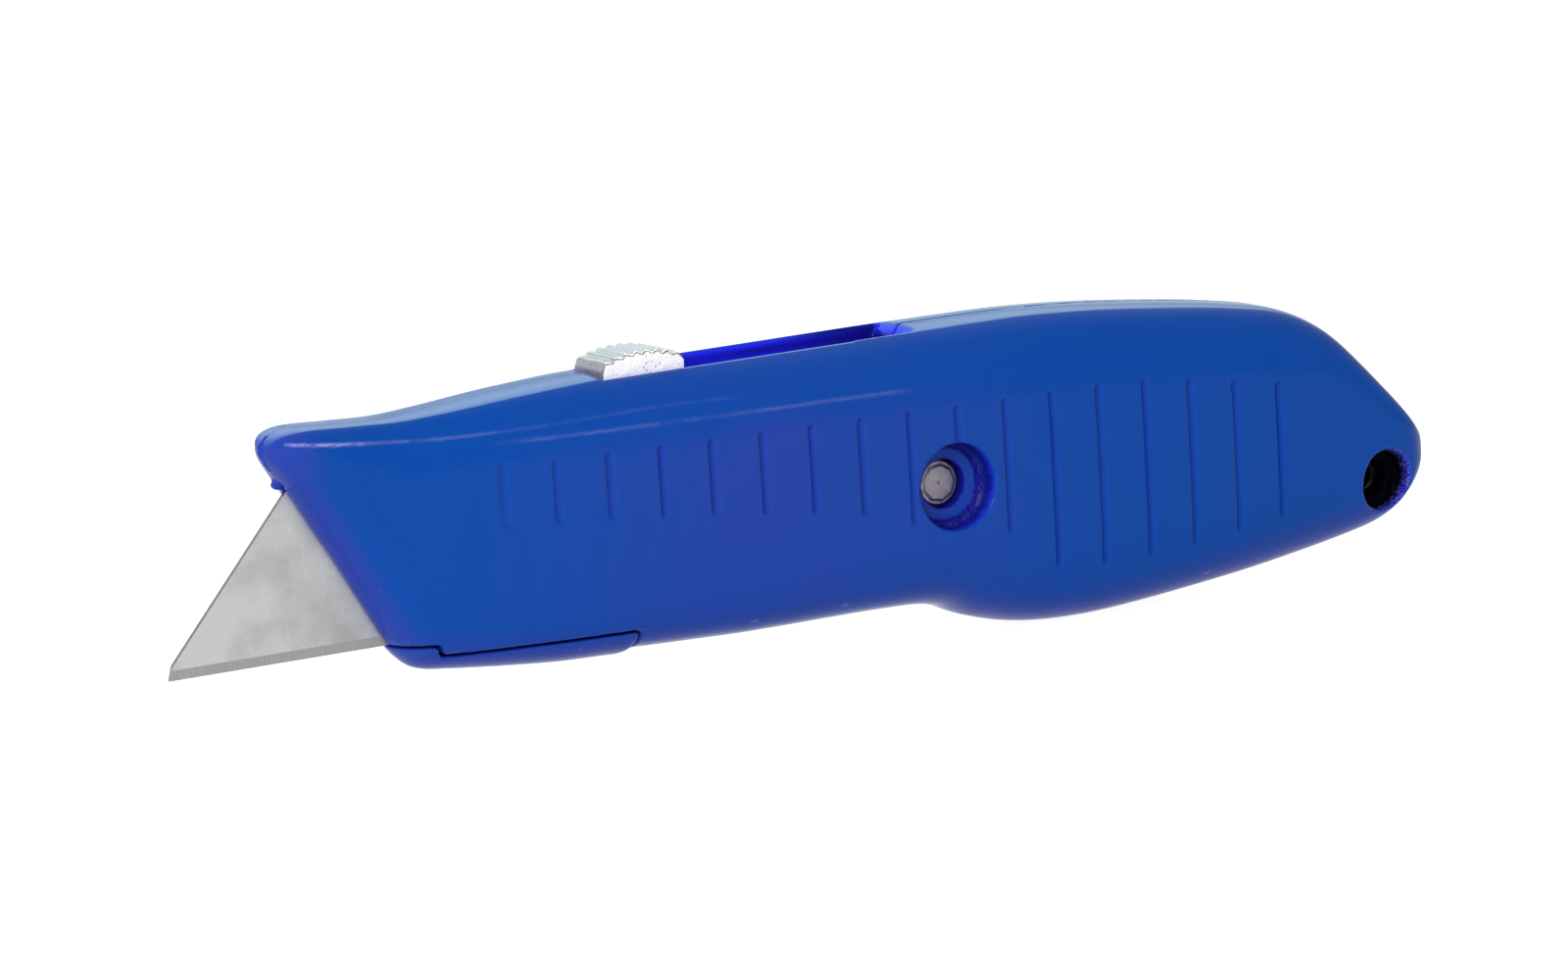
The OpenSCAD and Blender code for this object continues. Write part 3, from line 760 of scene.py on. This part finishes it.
# Every opening of the half: blade mouth, top slot, spare blades, lanyard hole, screw and carrier
def cutOpenings(piece, side, edge, reach):
    sx, sz, beyond = screw["x"], screw["z"], inside["beyond"]
    top = blade["tip"][1] + blade["height"] + inside["bladeGap"]
    start, end = inside["bladeRoom"]
    carve(piece, block((start, -reach, edge), (end, reach, top)))
    carve(piece, slab(handle["slot"], -handle["slotHalfWidth"], handle["slotHalfWidth"]))
    carve(piece, slab(inside["spareRoom"], -inside["spareRoomHalf"], inside["spareRoomHalf"]))
    carve(piece, rod(0, 0, lanyard["hole"], -beyond, beyond))
    carve(piece, turned([(r, side * y) for r, y in lanyard["mouthProfile"]], 0, 0))
    if side < 0:
        carve(piece, slab(lipOutline(0), -beyond, 1))
        carve(piece, rod(bead["x"], bead["z"], bead["radius"] + bead["gap"], -bead["reach"] - bead["gap"], 1))
        carve(piece, block(*inside["lugRoom"]))
        for radius, floor in ((screw["recessFloorR"], screw["recessFloor"]),
                              (screw["recessMouthR"], screw["recessLedge"])):
            carve(piece, turned([(radius - screw["recessDraft"], floor), (radius, floor - 3)], sx, sz))
        carve(piece, rod(sx, sz, screw["shank"] + screw["shankGap"][side], screw["recessFloor"] - 0.2, 1))
    else:
        carve(piece, block(*inside["carrierRoom"]))
        carve(piece, block(*inside["neckRoom"]))
        carve(piece, rod(sx, sz, screw["shank"] + screw["shankGap"][side], -1, beyond))
        carve(piece, rod(sx, sz, screw["head"] + screw["headGap"], screw["headY"][0], beyond))


# One half of the handle with its hollow, guides, boss and cuts, as the CAD half has them
def castHalf(name, side):
    reach = blade["thickness"] / 2 + blade["play"]
    edge = blade["tip"][1] - inside["bladeGap"]
    piece = loftHalf(name, side)
    carve(piece, loftHalf("tool", side, handle["wall"], inside["hollow"], *inside["hollowMesh"], seam=-1))
    addInside(piece, side, edge, reach)
    cutOpenings(piece, side, edge, reach)
    softenEdges(piece, handle["voxel"], handle["smoothing"])
    fitSkin(piece, side)
    thinInside(piece, side)
    markPaint(piece, side)
    piece.data.shade_smooth()
    piece.data.set_sharp_from_angle(angle=math.radians(handle["sharpAngle"]))
    assign(piece, "casing", "body_left" if side < 0 else "body_right")
    setMaterials(piece, bluePaint)
    print(name, "cast,", len(piece.data.polygons), "faces")


blade = {"tip": (-155.7, -1.05), "length": 61, "height": 19, "thickness": 0.6, "angle": 48.7,
         "edgeHalf": 0.015, "tipRun": 0.55, "tipRise": 1.6, "bevel": 1.2, "notchOffset": 4.5,
         "notchWidth": 2.4, "notchDepth": 2.3, "play": 0.15, "brokenEdge": 0.04}
spares = {"place": (-64.5, -3.4), "tilt": 1.4, "gap": 0.06, "count": 5}


# Trapezoid with two notches in its back, its edge on X and its tip at the origin
def bladeOutline():
    run = blade["tipRun"] + (blade["height"] - blade["tipRise"]) / math.tan(math.radians(blade["angle"]))
    r = blade["notchWidth"] / 2
    points = [(0, 0), (blade["length"], 0), (blade["length"] - blade["tipRun"], blade["tipRise"]),
              (blade["length"] - run, blade["height"])]
    for s in (1, -1):
        middle = blade["length"] / 2 + s * blade["notchOffset"]
        points.append((middle + r, blade["height"]))
        points += [(middle + r * math.cos(a), blade["height"] - blade["notchDepth"] + r - r * math.sin(a))
                   for a in np.linspace(0, math.pi, 13)]
        points.append((middle - r, blade["height"]))
    points += [(run, blade["height"]), (blade["tipRun"], blade["tipRise"])]
    return points


# A blade with its tip at the origin: flat sides, ground edge and slightly broken back edges
def bladePiece(name):
    half = blade["thickness"] / 2
    piece = slab(bladeOutline(), -half, half)
    piece.name = name
    ground, thin = blade["bevel"], blade["edgeHalf"]
    profile = [(-thin, 0), (thin, 0), (half, ground), (half, 25), (-half, 25), (-half, ground)]
    carve(piece, prism(*([(x, y, z) for y, z in profile] for x in (-1, blade["length"] + 1))), "INTERSECT")
    bevelEdges(piece, blade["brokenEdge"], 1, 40)
    setMaterials(piece, bladeSteel, groundEdge, blankedEdge)
    for face in piece.data.polygons:
        slanted = 0.1 < abs(face.normal.z) < 0.6 and face.center.z < ground * mm
        face.material_index = 1 if slanted else 2 * (abs(face.normal.y) < 0.8)
    return piece


# Moves a blade's tip from the origin to this point
def placeAt(x, y, z):
    return Matrix.Translation(Vector((x, y, z)) * mm)


def makeBlades():
    cutter = bladePiece("cuttingBlade")
    cutter.data.transform(placeAt(blade["tip"][0], 0, blade["tip"][1]))
    assign(cutter, "slide", "blade")
    turn = Matrix.Rotation(math.radians(spares["tilt"]), 4, "Y")
    for i in range(1, spares["count"] + 1):
        spare = bladePiece(f"spareBlade{i}")
        y = (i - (spares["count"] + 1) / 2) * (blade["thickness"] + spares["gap"])
        spare.data.transform(placeAt(spares["place"][0], y, spares["place"][1]) @ turn)
        assign(spare, "casing", f"spare_blade_{i}")


button = {"front": -101.85, "length": 10.3, "halfWidth": 3.35, "archR": 13.2, "peak": 27.85, "ridges": 8,
          "ridgeHeight": 0.38, "frontTop": 25.95, "backTop": 26.4, "chamfer": 0.32, "chamferFrom": 24,
          "flange": (21.6, 22.5), "flangeHalf": 4.2, "flangeBeyond": 1.5, "postX": -96.3, "postR": 1.65,
          "postDepth": 3.2, "pitY": (0.0, 0.9), "pitZ": (24.9, 25.35), "pitDepth": 0.5, "voxel": 0.1,
          "smoothing": 3, "roughness": 0.03}
ridgeShape = ((0, 1), (0.3, 0.1), (0.42, 0), (0.95, 0.8))  # share along a ridge, depth below its crest


# Side view of the button: blunt front, an arch of sawtooth ridges, then the back
def buttonOutline():
    middle = button["front"] + button["length"] / 2
    span = math.asin(button["length"] / 2 / button["archR"])
    centre = button["peak"] - button["archR"]
    low = button["flange"][0]
    points = [(button["front"] + button["length"], low), (button["front"], low)]
    for k in range(button["ridges"]):
        for share, depth in ridgeShape:
            a = -span + 2 * span * (k + share) / button["ridges"]
            r = button["archR"] - button["ridgeHeight"] * depth
            points.append((middle + r * math.sin(a), centre + r * math.cos(a)))
    points[2] = (button["front"], button["frontTop"])
    points.append((button["front"] + button["length"], button["backTop"]))
    return points


# Sand-like unevenness of a bare casting, on its flat sides and front
def roughen(piece, height):
    p, n = pointsOf(piece), normalsOf(piece)
    rough = np.zeros(len(p))
    for scale, share in ((1.1, 0.5), (2.3, 0.3), (4.7, 0.2)):
        wave = sum(np.sin(scale * (p @ np.array(d)) + k) for k, d in
                   enumerate([(1.9, 0.7, 1.3), (-1.2, 1.6, 2.1), (2.4, -0.9, -1.1), (0.6, 2.2, -1.9)]))
        rough += share * wave / 2
    flat = fade(np.maximum(np.abs(n[:, 1]), np.abs(n[:, 0])), 0.7, 0.9)
    setPoints(piece, p + n * (rough * height * (0.25 + 0.75 * flat))[:, None])


def makeButton():
    front, back = button["front"], button["front"] + button["length"]
    half, chamfer, (low, high) = button["halfWidth"], button["chamfer"], button["flange"]
    lowered = [(x, z - chamfer if z > button["chamferFrom"] else z) for x, z in buttonOutline()]
    piece = slab(lowered, -half, half)
    add(piece, slab(buttonOutline(), chamfer - half, half - chamfer))
    piece.name = "thumbButton"
    beyond, wide = button["flangeBeyond"], button["flangeHalf"]
    add(piece, block((front - beyond, -wide, low), (back + beyond, wide, high)))
    carve(piece, post(button["postX"], 0, button["postR"], low - 1, low + button["postDepth"]))
    carve(piece, block((front - 1, button["pitY"][0], button["pitZ"][0]),
                       (front + button["pitDepth"], button["pitY"][1], button["pitZ"][1])))
    softenEdges(piece, button["voxel"], button["smoothing"])
    roughen(piece, button["roughness"])
    piece.data.shade_smooth()
    setMaterials(piece, buttonTop, buttonSide)
    for face in piece.data.polygons:
        face.material_index = int(abs(face.normal.y) > 0.85)
    assign(piece, "button", "thumb_button")


screw = {"x": -61.0, "z": 8.2, "shank": 2.6, "head": 4.2, "headY": (6.2, 8.6), "slotWidth": 1.2,
         "slotDepth": 1.2, "tip": 1.9, "tipY": -5.5, "tipSides": 9, "bevel": 0.06, "sharpAngle": 30,
         "recessFloor": -6.8, "recessFloorR": 4.4, "recessLedge": -7.8, "recessMouthR": 5.0,
         "recessDraft": 0.1, "shankGap": {-1: 0.15, 1: 0.2}, "headGap": 0.2}


# Clamp screw: slotted cheese head on the right, faceted tip with a centre mark in the recess on the left
def makeScrew():
    sx, sz, tipY = screw["x"], screw["z"], screw["tipY"]
    shank, head, (y0, y1) = screw["shank"], screw["head"], screw["headY"]
    profile = [(shank - 0.2, tipY - 0.25), (shank, tipY - 0.1), (shank, y0), (head - 0.2, y0),
               (head, y0 + 0.2), (head, y1 - 0.5), (head - 0.15, y1 - 0.2), (head - 0.5, y1)]
    piece = turned(profile, sx, sz, 72)
    piece.name = "bodyScrew"
    add(piece, turned([(screw["tip"], tipY - 0.5), (screw["tip"] + 0.12, tipY - 0.42),
                       (shank - 0.3, tipY - 0.22), (shank - 0.3, tipY + 0.5)], sx, sz, screw["tipSides"]))
    carve(piece, turned([(0.3, tipY - 0.6), (0.05, tipY - 0.38)], sx, sz, 24))
    half, beyond = screw["slotWidth"] / 2, head + 1.8
    carve(piece, block((sx - beyond, y1 - screw["slotDepth"], sz - half), (sx + beyond, y1 + 1, sz + half)))
    bevelEdges(piece, screw["bevel"], 2, 25)
    piece.data.shade_smooth()
    piece.data.set_sharp_from_angle(angle=math.radians(screw["sharpAngle"]))
    setMaterials(piece, screwSteel)
    assign(piece, "casing", "body_screw")


castHalf("leftHalf", -1)
castHalf("rightHalf", 1)
makeBlades()
print("blades made")
makeButton()
print("button made")
makeScrew()
for node, material in (("blade_carrier", carrierMetal), ("button_spring", springSteel)):
    setMaterials(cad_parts[node], material)
print("screw, carrier and spring made")

stage = {"size": 6.0, "glow": (0.53, 0.95), "paper": (0.36, 0.36, 0.36, 1), "shade": (0.32, 0.32, 0.32, 1)}


def makeFloor():
    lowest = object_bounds()[0][2] / mm
    corners = np.array([(-1, -1, 0), (1, -1, 0), (1, 1, 0), (-1, 1, 0)]) * 500 * stage["size"]
    floor = meshPiece("studioFloor", corners + np.array([0, 0, lowest]), [(0, 1, 2, 3)])
    material, tree, shader = newMaterial("floorPaper", Roughness=0.9, Specular_IOR_Level=0.0,
                                         Emission_Color=(1, 1, 1, 1))
    seen = addNode(tree, "ShaderNodeLightPath")
    glow = rangeOf(tree, seen.outputs["Is Camera Ray"], *stage["glow"])
    tree.links.new(glow, shader.inputs["Emission Strength"])
    grain = useGroup(tree, grainGroup, Scale=60.0, Fine_Scale=400.0)
    tree.links.new(mixColor(tree, grain.outputs["Height"], stage["paper"], stage["shade"]),
                   shader.inputs["Base Color"])
    floor.data.materials.append(material)


makeFloor()

view = {"azimuth": -30.5, "elevation": 10.0, "roll": 3.3, "distance": 0.86, "lens": 176.1,
        "target": (-77.76, 0, 9.0)}


def placeCamera():
    a, e, r = (math.radians(view[k]) for k in ("azimuth", "elevation", "roll"))
    back = Vector((math.sin(a) * math.cos(e), -math.cos(a) * math.cos(e), math.sin(e)))
    level = Vector((math.cos(a), math.sin(a), 0))
    right = level * math.cos(r) - back.cross(level) * math.sin(r)
    up = back.cross(right)
    camera = bpy.data.objects.new("camera", bpy.data.cameras.new("camera"))
    camera.data.lens = view["lens"]
    camera.data.sensor_width = 36
    camera.data.clip_start = 0.01
    spot = Vector(view["target"]) * mm + back * view["distance"]
    camera.matrix_world = Matrix((right, up, back)).transposed().to_4x4()
    camera.matrix_world.translation = spot
    bpy.context.scene.collection.objects.link(camera)
    bpy.context.scene.camera = camera


keyLamp = {"place": (-0.75, -0.55, 0.5), "aim": (-0.07, 0, 0.01), "size": (0.5, 0.5), "watts": 7.5}


def keyLight():
    lamp = bpy.data.lights.new("keyLight", "AREA")
    lamp.shape = "RECTANGLE"
    lamp.size, lamp.size_y = keyLamp["size"]
    lamp.energy = keyLamp["watts"]
    made = bpy.data.objects.new("keyLight", lamp)
    made.location = keyLamp["place"]
    away = Vector(keyLamp["place"]) - Vector(keyLamp["aim"])
    made.rotation_euler = away.to_track_quat("Z", "Y").to_euler()
    bpy.context.scene.collection.objects.link(made)


# A tent that is bright behind and above the knife, and dimmer on the camera's side
def lightTent():
    tent = {"front": (0.52, 0.52, 0.52, 1), "low": (0.75, 0.92, 0.9, 1), "high": (3.1, 4.1, 3.7, 1),
            "edge": (0.56, 0.61), "lean": -0.6, "leanFrom": 0.4, "leanTo": 0.54, "climb": (0.2, 0.62)}
    world = bpy.data.worlds.new("lightTent")
    bpy.context.scene.world = world
    world.use_nodes = True
    tree = world.node_tree
    place = addNode(tree, "ShaderNodeTexCoord")
    parts = addNode(tree, "ShaderNodeSeparateXYZ")
    tree.links.new(place.outputs["Generated"], parts.inputs[0])
    lean = addNode(tree, "ShaderNodeMath", operation="MULTIPLY_ADD")
    sideways = rangeOf(tree, parts.outputs["X"], 0.0, tent["leanTo"] - tent["leanFrom"], tent["leanFrom"],
                       tent["leanTo"])
    tree.links.new(sideways, lean.inputs[0])
    lean.inputs[1].default_value = tent["lean"]
    tree.links.new(parts.outputs["Y"], lean.inputs[2])
    behind = rangeOf(tree, lean.outputs[0], 0.0, 1.0, *tent["edge"])
    level = rangeOf(tree, parts.outputs["Z"], 0.0, 1.0, *tent["climb"])
    glow = mixColor(tree, behind, tent["front"], mixColor(tree, level, tent["low"], tent["high"]))
    seen = addNode(tree, "ShaderNodeLightPath")
    tree.links.new(mixColor(tree, seen.outputs["Is Camera Ray"], glow, (1, 1, 1, 1)),
                   tree.nodes["Background"].inputs["Color"])


placeCamera()
lightTent()
keyLight()
bpy.context.scene.view_settings.view_transform = "Standard"
print("stage, light and camera ready")
